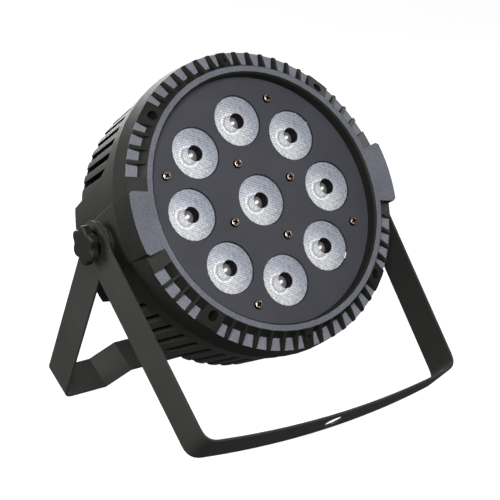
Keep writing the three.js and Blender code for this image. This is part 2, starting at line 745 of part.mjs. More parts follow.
function powerOutlet() {
  const x = POWER_SPOTS[1];
  const [bottom, top] = [CONNECTOR_ROW_Y - 7, CONNECTOR_ROW_Y + 7];
  const recess = box(x - 10.5, x + 10.5, bottom, top, FITTING_SEAT - 3, FITTING_SEAT + 6);
  const slots = powerBladeSpots(x).map(([bx, by]) => box(
    bx - 1.2, bx + 1.2, by - 2.3, by + 2.3, FITTING_SEAT + 5, FITTING_SEAT + 16,
  ));
  return cut(powerBody(x), recess, ...slots);
}

function fuseCap() {
  const [x, y] = FUSE_SPOT;
  const cap = cylinder(7.5, FITTING_SEAT - 6, FITTING_SEAT, x, y, 20);
  const stem = cylinder(5, FITTING_SEAT - 1, FITTING_SEAT + 16, x, y, 16);
  const slot = box(x - 5, x + 5, y - 0.7, y + 0.7, FITTING_SEAT - 7, FITTING_SEAT - 4.4);
  return cut(join(cap, stem), slot);
}

// A steel loop for the safety cable, with both legs through the back wall.
function safetyEye() {
  const wire = 2.4;
  const half = EYE_HALF_WIDTH;
  const [x, y] = EYE_SPOT;
  const arch = new THREE.Path();
  arch.absarc(0, 0, half, 0, Math.PI, false);
  const points = [
    new THREE.Vector3(x, y + half, FITTING_SEAT + 8),
    new THREE.Vector3(x, y + half, FITTING_SEAT - 5),
    ...arch.getPoints(8).slice(1, -1).map((p) => new THREE.Vector3(x, y + p.x, FITTING_SEAT - 5 - p.y)),
    new THREE.Vector3(x, y - half, FITTING_SEAT - 5),
    new THREE.Vector3(x, y - half, FITTING_SEAT + 8),
  ];
  const curve = new THREE.CurvePath();
  for (let i = 0; i + 1 < points.length; i += 1) {
    curve.add(new THREE.LineCurve3(points[i], points[i + 1]));
  }
  const shape = new THREE.Shape(circlePath(0, 0, wire, 6));
  const geometry = new THREE.ExtrudeGeometry(shape, { steps: 14, extrudePath: curve, bevelEnabled: false });
  return toSolid(geometry);
}

function fanFrame() {
  const half = FAN_SIZE / 2;
  const outer = box(-half, half, FAN_CENTRE_Y - half, FAN_CENTRE_Y + half, FAN_BACK, FAN_FRONT);
  const bore = cylinder(half - 2, FAN_BACK - 1, FAN_FRONT + 1, 0, FAN_CENTRE_Y, 32);
  const hub = cylinder(12, FAN_FRONT - 2, FAN_FRONT, 0, FAN_CENTRE_Y, 16);
  const struts = [45, 135].map((angle) => spun(box(-half, half, -2, 2, FAN_FRONT - 2, FAN_FRONT), angle)
    .translate([0, FAN_CENTRE_Y, 0]));
  return join(cut(outer, bore), hub, ...struts);
}

function fanRotor() {
  const hub = cylinder(11.5, FAN_BACK + 1.5, FAN_FRONT - 2.6, 0, 0, 20);
  const blades = [];
  for (let i = 0; i < 7; i += 1) {
    const blade = box(9, 26, -5.4, 5.4, -0.7, 0.7).rotate([38, 0, 0]);
    blades.push(spun(blade.translate([0, 0, (FAN_FRONT + FAN_BACK) / 2 - 0.5]), (360 / 7) * i));
  }
  return join(hub, ...blades).translate([0, FAN_CENTRE_Y, 0]);
}

// A flat wire guard over the fan opening, outside the back wall.
function fanGuard() {
  const middle = FITTING_SEAT - 1.2;
  const rings = [12, 26].map((radius) => cut(
    cylinder(radius + 1, middle - 1, middle + 1, 0, FAN_CENTRE_Y, 20),
    cylinder(radius - 1, middle - 2, middle + 2, 0, FAN_CENTRE_Y, 20),
  ));
  const spokes = [0, 90].map((angle) => spun(box(-32, 32, -1.1, 1.1, middle - 0.8, middle + 0.8), angle + 45)
    .translate([0, FAN_CENTRE_Y, 0]));
  return join(...rings, ...spokes);
}

function powerSupply() {
  const bottom = -25;
  const board = box(-44, 44, -76, -28, bottom, bottom + 1.6);
  const top = bottom + 1.4;
  return join(
    board,
    box(-38, -14, -70, -46, top, top + 11),
    cylinder(8, top, top + 11, 4, -60, 16),
    box(18, 40, -72, -52, top, top + 8),
    box(-8, 30, -42, -36, top, top + 9),
  );
}

// Offsets a centre line to both sides, giving the closed outline of a strip of even thickness.
function stripOutline(points, thickness) {
  const left = [];
  const right = [];
  for (let i = 0; i < points.length; i += 1) {
    const before = points[Math.max(i - 1, 0)];
    const after = points[Math.min(i + 1, points.length - 1)];
    const into = points[i].clone().sub(before).normalize();
    const out = after.clone().sub(points[i]).normalize();
    const along = into.add(out).normalize();
    const turn = i > 0 && i + 1 < points.length ? along.dot(out) : 1;
    const normal = new THREE.Vector2(-along.y, along.x).multiplyScalar(thickness / 2 / turn);
    left.push(points[i].clone().add(normal));
    right.unshift(points[i].clone().sub(normal));
  }
  return [...left, ...right];
}

// Rounds the corner of a line between two straight stretches.
function bendPoints(from, corner, to, radius) {
  const reach = (direction) => direction.clone().sub(corner).normalize().multiplyScalar(radius).add(corner);
  const curve = new THREE.QuadraticBezierCurve(reach(from), corner, reach(to));
  return curve.getPoints(6);
}

// A bent bar: half of its centre line (x, z), from the arm's top to the middle, mirrored to a U.
function bracketBar(halfLine, width, armHoleX, crossbarZ) {
  const mirroredHalf = halfLine.filter((p) => p.x < 0).map((p) => new THREE.Vector2(-p.x, p.y)).reverse();
  const outline = stripOutline([...halfLine, ...mirroredHalf], BAR_THICKNESS);
  const geometry = new THREE.ExtrudeGeometry(new THREE.Shape(outline), { depth: width, bevelEnabled: false });
  geometry.translate(0, 0, -width / 2);
  geometry.rotateX(Math.PI / 2);
  const roundTop = ARM_TOP - width / 2;
  const below = box(-armHoleX, armHoleX, -width, width, -400, roundTop);
  const tops = pivotCylinder(width / 2, -armHoleX, armHoleX, 32).translate([0, 0, roundTop]);
  const pivotHole = pivotCylinder(PIVOT_HOLE_RADIUS, -armHoleX, armHoleX, 16);
  const clampHole = cylinder(CLAMP_HOLE_RADIUS, crossbarZ - 10, crossbarZ + 10, 0, 0, 20);
  return cut(toSolid(geometry).intersect(join(below, tops)), pivotHole, clampHole);
}

function armX(face, drop) {
  return -(face - BAR_THICKNESS / 2 - Math.max(0, drop - ARM_FLAT_LENGTH) * Math.tan(ARM_TOE * DEG));
}

function frontBracket() {
  const base = FRONT_REACH - BAR_THICKNESS / 2;
  const top = new THREE.Vector2(armX(FRONT_ARM_FACE, 0), ARM_TOP);
  const flatEnd = new THREE.Vector2(armX(FRONT_ARM_FACE, 0), -ARM_FLAT_LENGTH);
  const corner = new THREE.Vector2(armX(FRONT_ARM_FACE, base), -base);
  const bow = (x) => new THREE.Vector2(x, -base - FRONT_BOW * (1 - (x / corner.x) ** 2));
  const crossbarStart = corner.x * 0.86;
  const steps = 8;
  const crossbar = [];
  for (let i = 1; i <= steps; i += 1) {
    crossbar.push(bow(crossbarStart * (1 - i / steps)));
  }
  const bend = bendPoints(flatEnd, corner, bow(crossbarStart), FRONT_BEND);
  const halfLine = [top, flatEnd, ...bend, ...crossbar];
  return bracketBar(halfLine, FRONT_BAR_WIDTH, FRONT_ARM_FACE + 5, -base - FRONT_BOW);
}

function rearBracket() {
  const base = REAR_REACH - BAR_THICKNESS / 2;
  const top = new THREE.Vector2(armX(REAR_ARM_FACE, 0), ARM_TOP);
  const flatEnd = new THREE.Vector2(armX(REAR_ARM_FACE, 0), -ARM_FLAT_LENGTH);
  const corner = new THREE.Vector2(armX(REAR_ARM_FACE, base), -base);
  const stepOut = new THREE.Vector2(corner.x + REAR_END_LENGTH, -base);
  const stepIn = new THREE.Vector2(stepOut.x + REAR_STEP_LENGTH, -base + REAR_RISE);
  const middle = new THREE.Vector2(0, -base + REAR_RISE);
  const bend = bendPoints(flatEnd, corner, stepOut, REAR_BEND);
  const halfLine = [top, flatEnd, ...bend, stepOut, stepIn, middle];
  return bracketBar(halfLine, REAR_BAR_WIDTH, REAR_ARM_FACE + 5, middle.y);
}

// A lobed hand knob along +X, blind bored for its stud.
function knob() {
  const points = [];
  const count = KNOB_LOBES * 6;
  for (let i = 0; i < count; i += 1) {
    const angle = (360 / count) * i;
    const radius = KNOB_RADIUS + KNOB_LOBE * Math.cos(KNOB_LOBES * angle * DEG);
    points.push(new THREE.Vector2(...polar(radius, angle)));
  }
  const bevel = 1.1;
  const geometry = new THREE.ExtrudeGeometry(new THREE.Shape(points), {
    depth: KNOB_FACE - KNOB_HEAD_INNER - 2 * bevel,
    bevelEnabled: true,
    bevelThickness: bevel,
    bevelSize: bevel,
    bevelOffset: -bevel,
    bevelSegments: 1,
  });
  geometry.rotateY(Math.PI / 2);
  geometry.translate(KNOB_HEAD_INNER + bevel, 0, 0);
  const hub = pivotCylinder(KNOB_HUB_RADIUS, KNOB_INNER, KNOB_HEAD_INNER + 1);
  const bore = pivotCylinder(STUD_RADIUS + GAP, KNOB_INNER - 1, KNOB_FACE - KNOB_SKIN);
  return cut(join(toSolid(geometry), hub), bore);
}

function ringOnPivot(inner, outer, x0, x1) {
  return cut(pivotCylinder(outer, x0, x1), pivotCylinder(inner, x0 - 1, x1 + 1));
}

function onSide(solid, side) {
  return solid.scale([side, 1, 1]);
}

function node(group, name, solid, finish) {
  const mesh = new THREE.Mesh(toGeometry(solid), finish);
  mesh.name = name;
  group.add(mesh);
}

function buildHead() {
  const head = new THREE.Group();
  node(head, 'front_bezel', frontBezel(), bezelPlastic());
  node(head, 'led_plate', ledPlate(), plateFinish());
  lensCentres().forEach(([x, y], i) => node(head, `lens_${i + 1}`, lens(x, y), clearPlastic()));
  plateScrewCentres().forEach(([x, y], i) => {
    node(head, `plate_screw_${i + 1}`, plateScrew(x, y), bronzeScrew());
  });
  bezelScrewSpots().forEach(([x, y], i) => {
    const screw = panScrew(2.8, 2.1, 1.5, 16, x, y, BEZEL_SCREW_SEAT + GAP);
    node(head, `bezel_screw_${i + 1}`, screw, steel());
  });
  node(head, 'led_board', ledBoard(), aluminium());
  node(head, 'heat_sink', heatSink(), aluminium());
  node(head, 'power_supply', powerSupply(), circuitGreen());
  node(head, 'rear_housing', rearHousing(), housingPlastic());
  node(head, 'back_cover', backCover(), housingPlastic());
  node(head, 'fan_frame', fanFrame(), blackPlastic());
  node(head, 'fan_rotor', fanRotor(), blackPlastic());
  node(head, 'fan_guard', fanGuard(), steel());
  node(head, 'control_panel', controlPanel(), blackPlastic());
  node(head, 'display_window', displayWindow(), displayGlass());
  node(head, 'display_board', displayBoard(), circuitGreen());
  buttonSpots().forEach((x, i) => node(head, `menu_button_${i + 1}`, menuButton(x), rubber()));
  coverScrewSpots().forEach(([x, y], i) => {
    const screw = panScrew(2.8, 1.8, 1.4, 9, x, -y, -(HOUSING_BACK - GAP)).rotate([HALF_TURN, 0, 0]);
    node(head, `cover_screw_${i + 1}`, screw, steel());
  });
  node(head, 'dmx_in', dmxInput(), blackPlastic());
  node(head, 'dmx_out', dmxOutput(), blackPlastic());
  node(head, 'dmx_latch', dmxLatch(), steel());
  node(head, 'power_in', powerInlet(), blackPlastic());
  node(head, 'power_out', powerOutlet(), blackPlastic());
  node(head, 'fuse_cap', fuseCap(), blackPlastic());
  node(head, 'safety_eye', safetyEye(), steel());
  head.rotation.x = (90 - HEAD_TILT) * DEG;
  return head;
}

function buildClamp(sideName, side) {
  const clamp = new THREE.Group();
  const bore = STUD_RADIUS + GAP;
  const insert = ringOnPivot(bore, INSERT_RADIUS, INSERT_INNER, BOSS_FACE - GAP);
  const frictionOuter = REAR_ARM_FACE - BAR_THICKNESS - GAP;
  const friction = ringOnPivot(bore, BOSS_RADIUS, BOSS_FACE + GAP, frictionOuter);
  const washer = ringOnPivot(bore, WASHER_RADIUS, WASHER_INNER, WASHER_INNER + WASHER_THICKNESS);
  const stud = pivotCylinder(STUD_RADIUS, STUD_INNER, KNOB_FACE - KNOB_SKIN - GAP);
  node(clamp, `insert_${sideName}`, onSide(insert, side), brass());
  node(clamp, `friction_washer_${sideName}`, onSide(friction, side), rubber());
  node(clamp, `washer_${sideName}`, onSide(washer, side), steel());
  node(clamp, `stud_${sideName}`, onSide(stud, side), steel());
  node(clamp, `knob_${sideName}`, onSide(knob(), side), knobPlastic());
  return clamp;
}

function buildBracket(name, solid, lean) {
  const bracket = new THREE.Group();
  node(bracket, name, solid, powderCoat());
  bracket.rotation.x = lean * DEG;
  return bracket;
}

function buildLight() {
  const light = new THREE.Group();
  light.name = 'stage_wash_light';
  light.add(buildHead());
  light.add(buildBracket('front_bracket', frontBracket(), -FRONT_LEAN));
  light.add(buildBracket('rear_bracket', rearBracket(), REAR_LEAN));
  light.add(buildClamp('left', -1));
  light.add(buildClamp('right', 1));
  const bounds = new THREE.Box3().setFromObject(light, true);
  light.position.set(0, -(bounds.min.y + bounds.max.y) / 2, -bounds.min.z);
  return light;
}

export default buildLight();
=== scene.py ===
"""Looks for the stage wash light: materials, smooth lenses, knobs and screws, light and camera."""
import json
import math

import bpy
from mathutils import Matrix, Vector


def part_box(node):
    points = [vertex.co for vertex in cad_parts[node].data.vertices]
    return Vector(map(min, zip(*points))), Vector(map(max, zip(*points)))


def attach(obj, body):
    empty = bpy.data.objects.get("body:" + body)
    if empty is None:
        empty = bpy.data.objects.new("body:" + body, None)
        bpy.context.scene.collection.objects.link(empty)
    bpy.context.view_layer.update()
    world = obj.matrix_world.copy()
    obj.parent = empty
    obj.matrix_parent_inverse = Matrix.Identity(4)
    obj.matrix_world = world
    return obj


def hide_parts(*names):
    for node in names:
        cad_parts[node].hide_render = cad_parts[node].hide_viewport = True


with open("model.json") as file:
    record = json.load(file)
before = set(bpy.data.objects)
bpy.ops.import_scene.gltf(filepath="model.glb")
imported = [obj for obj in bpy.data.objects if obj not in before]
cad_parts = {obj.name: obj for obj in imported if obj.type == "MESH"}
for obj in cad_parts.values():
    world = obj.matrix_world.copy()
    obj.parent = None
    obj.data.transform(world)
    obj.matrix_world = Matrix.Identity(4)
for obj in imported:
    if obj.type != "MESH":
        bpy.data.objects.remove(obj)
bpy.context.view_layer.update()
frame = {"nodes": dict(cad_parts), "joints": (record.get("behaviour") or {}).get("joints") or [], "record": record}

JOINTS = {joint["name"]: joint for joint in frame["joints"]}
MM = 0.001
LENS_COUNT = 9
PLATE_SCREW_COUNT = 8

# Edges flatter than these are shaded smooth, on the pieces made here and on the CAD nodes.
SMOOTH_ANGLE = math.radians(32)
CAD_SMOOTH_ANGLE = math.radians(16)
WELD_DISTANCE = 0.01 * MM

# The head sits on the pivot of the brackets and looks along the shaft of its fan.
PIVOT = Vector(JOINTS["front_bracket_pivot"]["pos_m"])
OPTICAL_AXIS = Vector(JOINTS["fan_spin"]["axis"]).normalized()
RIGHT = Vector((1, 0, 0))
FACE_UP = OPTICAL_AXIS.cross(RIGHT)

# Turns head coordinates (right, face up, optical axis, from the pivot) into the row frame.
HEAD = Matrix.Translation(PIVOT) @ Matrix((RIGHT, FACE_UP, OPTICAL_AXIS)).transposed().to_4x4()
HEAD_INVERSE = HEAD.inverted()


def head_box(node):
    """Lowest and highest corner of a CAD node in head coordinates."""
    points = [HEAD_INVERSE @ v.co for v in frame["nodes"][node].data.vertices]
    low = Vector([min(p[i] for p in points) for i in range(3)])
    high = Vector([max(p[i] for p in points) for i in range(3)])
    return low, high


LENS_RADIUS = head_box("lens_1")[1].x


# ---------------------------------------------------------------- shader helpers

# Most values of a noise texture lie between these.
NOISE_LOW, NOISE_HIGH = 0.3, 0.7
# Sockets of a Mix node that mixes colours.
MIX_FACTOR, MIX_FIRST, MIX_SECOND, MIX_RESULT = 0, 6, 7, 2


def feed(tree, socket, value):
    """Sets an input, by value or by link."""
    if isinstance(value, bpy.types.NodeSocket):
        tree.links.new(value, socket)
    else:
        socket.default_value = value


def add(tree, kind, **inputs):
    """A shader node with some of its inputs set, by value or by link."""
    node = tree.nodes.new(kind)
    for name, value in inputs.items():
        feed(tree, node.inputs[name.replace("_", " ")], value)
    return node


def blank(name):
    """A new material with its node tree and its main shader."""
    material = bpy.data.materials.new(name)
    material.use_nodes = True
    tree = material.node_tree
    return material, tree, tree.nodes["Principled BSDF"]


def place(tree):
    """Place on a piece, in metres from its own origin."""
    return tree.nodes.new("ShaderNodeTexCoord").outputs["Object"]


def noise(tree, scale, detail=2.0, roughness=0.5):
    """Values of an even noise, with more blotches to the metre at a larger scale."""
    texture = add(tree, "ShaderNodeTexNoise", Vector=place(tree), Scale=scale, Detail=detail,
                  Roughness=roughness)
    return texture.outputs["Fac"]


def mapped(tree, value, low, high, from_low=NOISE_LOW, from_high=NOISE_HIGH):
    """A value carried from one range to another in a straight line, and held at both ends."""
    node = add(tree, "ShaderNodeMapRange", Value=value)
    node.inputs["From Min"].default_value = from_low
    node.inputs["From Max"].default_value = from_high
    node.inputs["To Min"].default_value = low
    node.inputs["To Max"].default_value = high
    return node.outputs["Result"]


def mix_colour(tree, factor, first, second, mode="MIX"):
    """Two colours mixed by a factor. Each of the three is a value or a link."""
    node = tree.nodes.new("ShaderNodeMix")
    node.data_type = "RGBA"
    node.blend_type = mode
    feed(tree, node.inputs[MIX_FACTOR], factor)
    feed(tree, node.inputs[MIX_FIRST], first)
    feed(tree, node.inputs[MIX_SECOND], second)
    return node.outputs[MIX_RESULT]


def grey(tree, value):
    """A colour of equal parts from one value."""
    node = tree.nodes.new("ShaderNodeCombineXYZ")
    for socket in node.inputs:
        tree.links.new(value, socket)
    return node.outputs["Vector"]


def multiplied(tree, colour, value):
    """A colour darkened or lightened by a linked value."""
    return mix_colour(tree, 1.0, colour, grey(tree, value), "MULTIPLY")


def maths(tree, operation, first, second=0.0):
    """The result of one sum. Each operand is a value or a link."""
    node = tree.nodes.new("ShaderNodeMath")
    node.operation = operation
    feed(tree, node.inputs[0], first)
    feed(tree, node.inputs[1], second)
    return node.outputs["Value"]


def bump(tree, height, strength, distance, normal=None):
    """A surface normal roughened by a height, on top of another normal if one is given."""
    node = add(tree, "ShaderNodeBump", Height=height, Strength=strength, Distance=distance)
    if normal is not None:
        tree.links.new(normal, node.inputs["Normal"])
    return node.outputs["Normal"]


def shade(colour, factor):
    """A constant colour made darker or lighter."""
    return (*(c * factor for c in colour), 1.0)


def along_axis(tree, vector):
    """How far a point or direction lies along the optical axis."""
    node = tree.nodes.new("ShaderNodeVectorMath")
    node.operation = "DOT_PRODUCT"
    tree.links.new(vector, node.inputs[0])
    node.inputs[1].default_value = OPTICAL_AXIS
    return node.outputs["Value"]


# ---------------------------------------------------------------- materials

# What parts the front of the bezel from its pockets: height over the pivot, and half the width of the blend.
POCKET_LEVEL = 36.7 * MM
POCKET_BLEND = 0.5 * MM
# Cosines to the optical axis from which a surface starts to look front-facing, and from which it fully does.
FACING_START, FACING_FULL = 0.95, 0.985


def face_tint(tree, colour, front, pocket):
    """Front colour on surfaces square to the optical axis, and pocket colour on those set back."""
    normal = tree.nodes.new("ShaderNodeTexCoord").outputs["Normal"]
    square = mapped(tree, along_axis(tree, normal), 0.0, 1.0, FACING_START, FACING_FULL)
    height = along_axis(tree, place(tree))
    level = OPTICAL_AXIS.dot(PIVOT) + POCKET_LEVEL
    raised = mapped(tree, height, 0.0, 1.0, level - POCKET_BLEND, level + POCKET_BLEND)
    faced = mix_colour(tree, raised, (*pocket, 1.0), (*front, 1.0))
    return mix_colour(tree, square, colour, faced)


def moulded(name, colour, roughness, grain, depth, edge, speckle, specular=0.3, front=None):
    """Moulded plastic or coated metal: slightly uneven, with softened edges and a grain.

    The grain has a scale, a depth in mm and a speckle of its colour. The edge is the radius of its rounding
    in mm. The front, if given, holds the colours of front-facing surfaces and of pockets among them.
    """
    material, tree, bsdf = blank(name)
    colour = (*colour, 1.0)
    broad = noise(tree, scale=35.0, detail=4.0)
    fine = noise(tree, scale=grain, detail=3.0, roughness=0.7)
    rounded = add(tree, "ShaderNodeBevel", Radius=edge * MM)
    rounded.samples = 4
    base = face_tint(tree, colour, *front) if front else colour
    uneven = multiplied(tree, base, mapped(tree, broad, 0.9, 1.1))
    grains = mapped(tree, fine, 1.0 - speckle, 1.0 + speckle, from_low=0.35, from_high=0.65)
    tree.links.new(multiplied(tree, uneven, grains), bsdf.inputs["Base Color"])
    tree.links.new(mapped(tree, fine, roughness - 0.06, roughness + 0.08), bsdf.inputs["Roughness"])
    grained = bump(tree, fine, strength=0.6, distance=depth * MM, normal=rounded.outputs["Normal"])
    tree.links.new(grained, bsdf.inputs["Normal"])
    bsdf.inputs["Specular IOR Level"].default_value = specular
    return material


def metal(name, colour, roughness):
    """Bare, plated or blackened metal with a fine uneven polish."""
    material, tree, bsdf = blank(name)
    patches = noise(tree, scale=260.0, detail=4.0, roughness=0.6)
    fine = noise(tree, scale=900.0, detail=2.0, roughness=0.6)
    dull, bright = shade(colour, 0.78), shade(colour, 1.1)
    polish = mix_colour(tree, mapped(tree, patches, 0.0, 1.0), dull, bright)
    tree.links.new(polish, bsdf.inputs["Base Color"])
    tree.links.new(mapped(tree, patches, roughness - 0.07, roughness + 0.1), bsdf.inputs["Roughness"])
    tree.links.new(bump(tree, fine, strength=0.25, distance=0.02 * MM), bsdf.inputs["Normal"])
    bsdf.inputs["Metallic"].default_value = 1.0
    return material


def distance_from(tree, x, y):
    """Distance from a point in a lens's own XY plane, both as shares of the lens radius."""
    flat = tree.nodes.new("ShaderNodeVectorMath")
    flat.operation = "MULTIPLY"
    tree.links.new(place(tree), flat.inputs[0])
    flat.inputs[1].default_value = (1 / LENS_RADIUS, 1 / LENS_RADIUS, 0)
    away = tree.nodes.new("ShaderNodeVectorMath")
    away.operation = "DISTANCE"
    tree.links.new(flat.outputs[0], away.inputs[0])
    away.inputs[1].default_value = (x, y, 0)
    return away.outputs["Value"]


def ripple(tree, distance, pitch, low, high):
    """Rings of a pitch round a point, between two values."""
    wave = maths(tree, "SINE", maths(tree, "MULTIPLY", distance, 2 * math.pi / pitch))
    return mapped(tree, wave, low, high, from_low=-1.0, from_high=1.0)


def ring_line(tree, distance, radius, level, inner, outer):
    """A level along a circle, turning to 1 between two distances from it."""
    off = maths(tree, "ABSOLUTE", maths(tree, "SUBTRACT", distance, radius))
    return mapped(tree, off, level, 1.0, inner, outer)


def patch(tree, x, y):
    """1 near a point of a lens, and a good half well away from it."""
    return mapped(tree, distance_from(tree, x, y), 1.0, 0.55, from_low=0.2, from_high=0.9)


# Painted light on a lens face: its colour on the side painted in shade and on the side painted lit.
LENS_PAINTED_SHADE, LENS_PAINTED_LIGHT = (0.22, 0.235, 0.275, 1), (0.44, 0.445, 0.46, 1)
# Places on a lens, to the right and up from its middle, as shares of its radius: the middle of the painted lit
# side, the seat, the two dotted patches and the ends of the painted highlight on the dome.
PAINTED_LIT_SIDE = (-0.75, -0.62)
SEAT = (-0.32, -0.08)
DOTTED_PLACES = ((-0.45, 0.6), (0.6, -0.45))
HIGHLIGHT_STREAK_ENDS = ((-0.11, -0.03), (0.05, 0.03))


def lens_face():
    """Front of a lens: painted light from a shaded side to a lit side, honeycomb dots, faint moulding rings, the
    seat showing through with a painted highlight ring, and a faint painted glow.
    """
    material, tree, bsdf = blank("lens_face")
    # Painted light: paler towards the lit side, darker away from it.
    painted_lit_share = mapped(tree, distance_from(tree, *PAINTED_LIT_SIDE), 1.0, 0.0, from_low=0.55, from_high=1.5)
    base = mix_colour(tree, painted_lit_share, LENS_PAINTED_SHADE, LENS_PAINTED_LIGHT)
    moulding = ripple(tree, distance_from(tree, 0, 0), pitch=0.085, low=0.95, high=1.03)
    ringed = multiplied(tree, base, moulding)
    seat = distance_from(tree, *SEAT)
    # Painted highlight: a bright glint ring round the seat, mottled below. The darker groove ring is the seat seen
    # through the face.
    seat_glint_ring = ring_line(tree, seat, radius=0.40, level=1.45, inner=0.015, outer=0.05)
    seat_groove = ring_line(tree, seat, radius=0.30, level=0.62, inner=0.02, outer=0.06)
    seat_and_glint_mottle = mapped(tree, noise(tree, scale=420.0, detail=3.0, roughness=0.6), 0.72, 1.3)
    seat_lines_and_glint = maths(tree, "MULTIPLY", maths(tree, "MULTIPLY", seat_glint_ring, seat_groove), seat_and_glint_mottle)
    seat_shown_with_glint = multiplied(tree, ringed, seat_lines_and_glint)
    honeycomb = add(tree, "ShaderNodeTexVoronoi", Vector=place(tree), Scale=900.0, Randomness=0.15)
    cells = honeycomb.outputs["Distance"]
    dots = mapped(tree, cells, 0.15, 1.9, from_low=0.12, from_high=0.5)
    upper_left, lower_right = (patch(tree, *point) for point in DOTTED_PLACES)
    dotted = multiplied(tree, seat_shown_with_glint, dots)
    shown = mix_colour(tree, maths(tree, "MAXIMUM", upper_left, lower_right), seat_shown_with_glint, dotted)
    tree.links.new(shown, bsdf.inputs["Base Color"])
    # Painted light: the face glows faintly in its own colour.
    tree.links.new(shown, bsdf.inputs["Emission Color"])
    bsdf.inputs["Emission Strength"].default_value = 0.1
    tree.links.new(mapped(tree, cells, 0.2, 0.34, from_low=0.1, from_high=0.5), bsdf.inputs["Roughness"])
    tree.links.new(bump(tree, cells, strength=0.25, distance=0.08 * MM), bsdf.inputs["Normal"])
    return material


def lens_wall():
    """Wall of the front recess, painted near black for the shade inside it, with a brownish speckle."""
    material, tree, bsdf = blank("lens_wall")
    # Painted shade: the wall is near black for the dark inside of the recess.
    black, brown = (0.004, 0.004, 0.005, 1), (0.11, 0.085, 0.055, 1)
    fine = noise(tree, scale=1700.0, detail=2.0, roughness=0.7)
    speck = mapped(tree, fine, 0.0, 1.0, from_low=0.56, from_high=0.72)
    tree.links.new(mix_colour(tree, speck, black, brown), bsdf.inputs["Base Color"])
    tree.links.new(mapped(tree, fine, 0.35, 0.6), bsdf.inputs["Roughness"])
    tree.links.new(bump(tree, fine, strength=0.3, distance=0.04 * MM), bsdf.inputs["Normal"])
    bsdf.inputs["Specular IOR Level"].default_value = 0.15
    return material


def lens_dome():
    """Grey domed floor of the front recess, over the emitter, with a painted highlight streak across it."""
    material, tree, bsdf = blank("lens_dome")
    dome_grey, highlight_white = (0.2, 0.2, 0.215, 1), (0.97, 0.96, 0.94, 1)
    rings = ripple(tree, distance_from(tree, 0, 0), pitch=0.11, low=0.85, high=1.1)
    near, far = (distance_from(tree, *end) for end in HIGHLIGHT_STREAK_ENDS)
    # Painted highlight: a white streak across the dome, between the two ends.
    streak = mapped(tree, maths(tree, "ADD", near, far), 1.0, 0.0, from_low=0.19, from_high=0.24)
    base = multiplied(tree, dome_grey, rings)
    fine = noise(tree, scale=900.0)
    tree.links.new(mix_colour(tree, streak, base, highlight_white), bsdf.inputs["Base Color"])
    tree.links.new(mapped(tree, fine, 0.12, 0.22), bsdf.inputs["Roughness"])
    tree.links.new(bump(tree, fine, strength=0.12, distance=0.03 * MM), bsdf.inputs["Normal"])
    return material


def glossy(name, colour, roughness):
    """Smooth coated glass or plastic with a faint smear."""
    material, tree, bsdf = blank(name)
    smear = noise(tree, scale=120.0, detail=3.0)
    bsdf.inputs["Base Color"].default_value = (*colour, 1.0)
    tree.links.new(mapped(tree, smear, roughness, roughness + 0.12), bsdf.inputs["Roughness"])
    tree.links.new(bump(tree, smear, strength=0.05, distance=0.02 * MM), bsdf.inputs["Normal"])
    bsdf.inputs["Coat Weight"].default_value = 0.5
    return material


BEZEL_FRONT = (0.135, 0.140, 0.165)
BEZEL_POCKET = (0.185, 0.19, 0.22)

MATERIALS = {
    "bezel_plastic": moulded("bezel_plastic", (0.018, 0.018, 0.016), roughness=0.45, grain=900.0, depth=0.08,
                             edge=0.3, speckle=0.2, specular=0.1, front=(BEZEL_FRONT, BEZEL_POCKET)),
    "housing_plastic": moulded("housing_plastic", (0.018, 0.018, 0.0145), roughness=0.42, grain=1100.0,
                               depth=0.04, edge=0.35, speckle=0.08),
    "lens_plate": moulded("lens_plate", (0.052, 0.053, 0.064), roughness=0.55, grain=1500.0, depth=0.03,
                          edge=0.2, speckle=0.08),
    "powder_coat": moulded("powder_coat", (0.034, 0.035, 0.031), roughness=0.42, grain=1300.0, depth=0.06,
                           edge=0.3, speckle=0.12),
    "knob_plastic": moulded("knob_plastic", (0.013, 0.013, 0.010), roughness=0.4, grain=1200.0, depth=0.05,
                            edge=0.3, speckle=0.05, specular=0.2),
    "black_plastic": moulded("black_plastic", (0.010, 0.010, 0.010), roughness=0.42, grain=1200.0, depth=0.05,
                             edge=0.3, speckle=0.05),
    "black_rubber": moulded("black_rubber", (0.008, 0.008, 0.008), roughness=0.75, grain=1500.0, depth=0.06,
                            edge=0.4, speckle=0.05),
    "circuit_board": moulded("circuit_board", (0.008, 0.045, 0.02), roughness=0.4, grain=700.0, depth=0.05,
                             edge=0.1, speckle=0.3),
    "bronze_screw": metal("bronze_screw", (0.80, 0.62, 0.49), roughness=0.32),
    "steel": metal("steel", (0.50, 0.50, 0.49), roughness=0.33),
    "bare_aluminium": metal("bare_aluminium", (0.72, 0.72, 0.73), roughness=0.38),
    "anodised_black": metal("anodised_black", (0.02, 0.02, 0.022), roughness=0.5),
    "brass_insert": metal("brass_insert", (0.62, 0.46, 0.2), roughness=0.3),
    "display_glass": glossy("display_glass", (0.006, 0.009, 0.012), roughness=0.05),
    "lens_clear": lens_face(),
}
LENS_MATERIALS = [MATERIALS["lens_clear"], lens_wall(), lens_dome()]
BLACKENED_STEEL = metal("blackened_steel", (0.03, 0.03, 0.03), roughness=0.5)
# Painted shade: near black, for the shade in the screws' driver recesses and the painted dark reflection on the
# sides of their heads.
PAINTED_SHADE_RECESS = moulded("painted_shade_recess", (0.003, 0.003, 0.003), roughness=0.8, grain=1200.0, depth=0.02,
                      edge=0.05, speckle=0.05, specular=0.0)


# ---------------------------------------------------------------- CAD nodes shown as they are

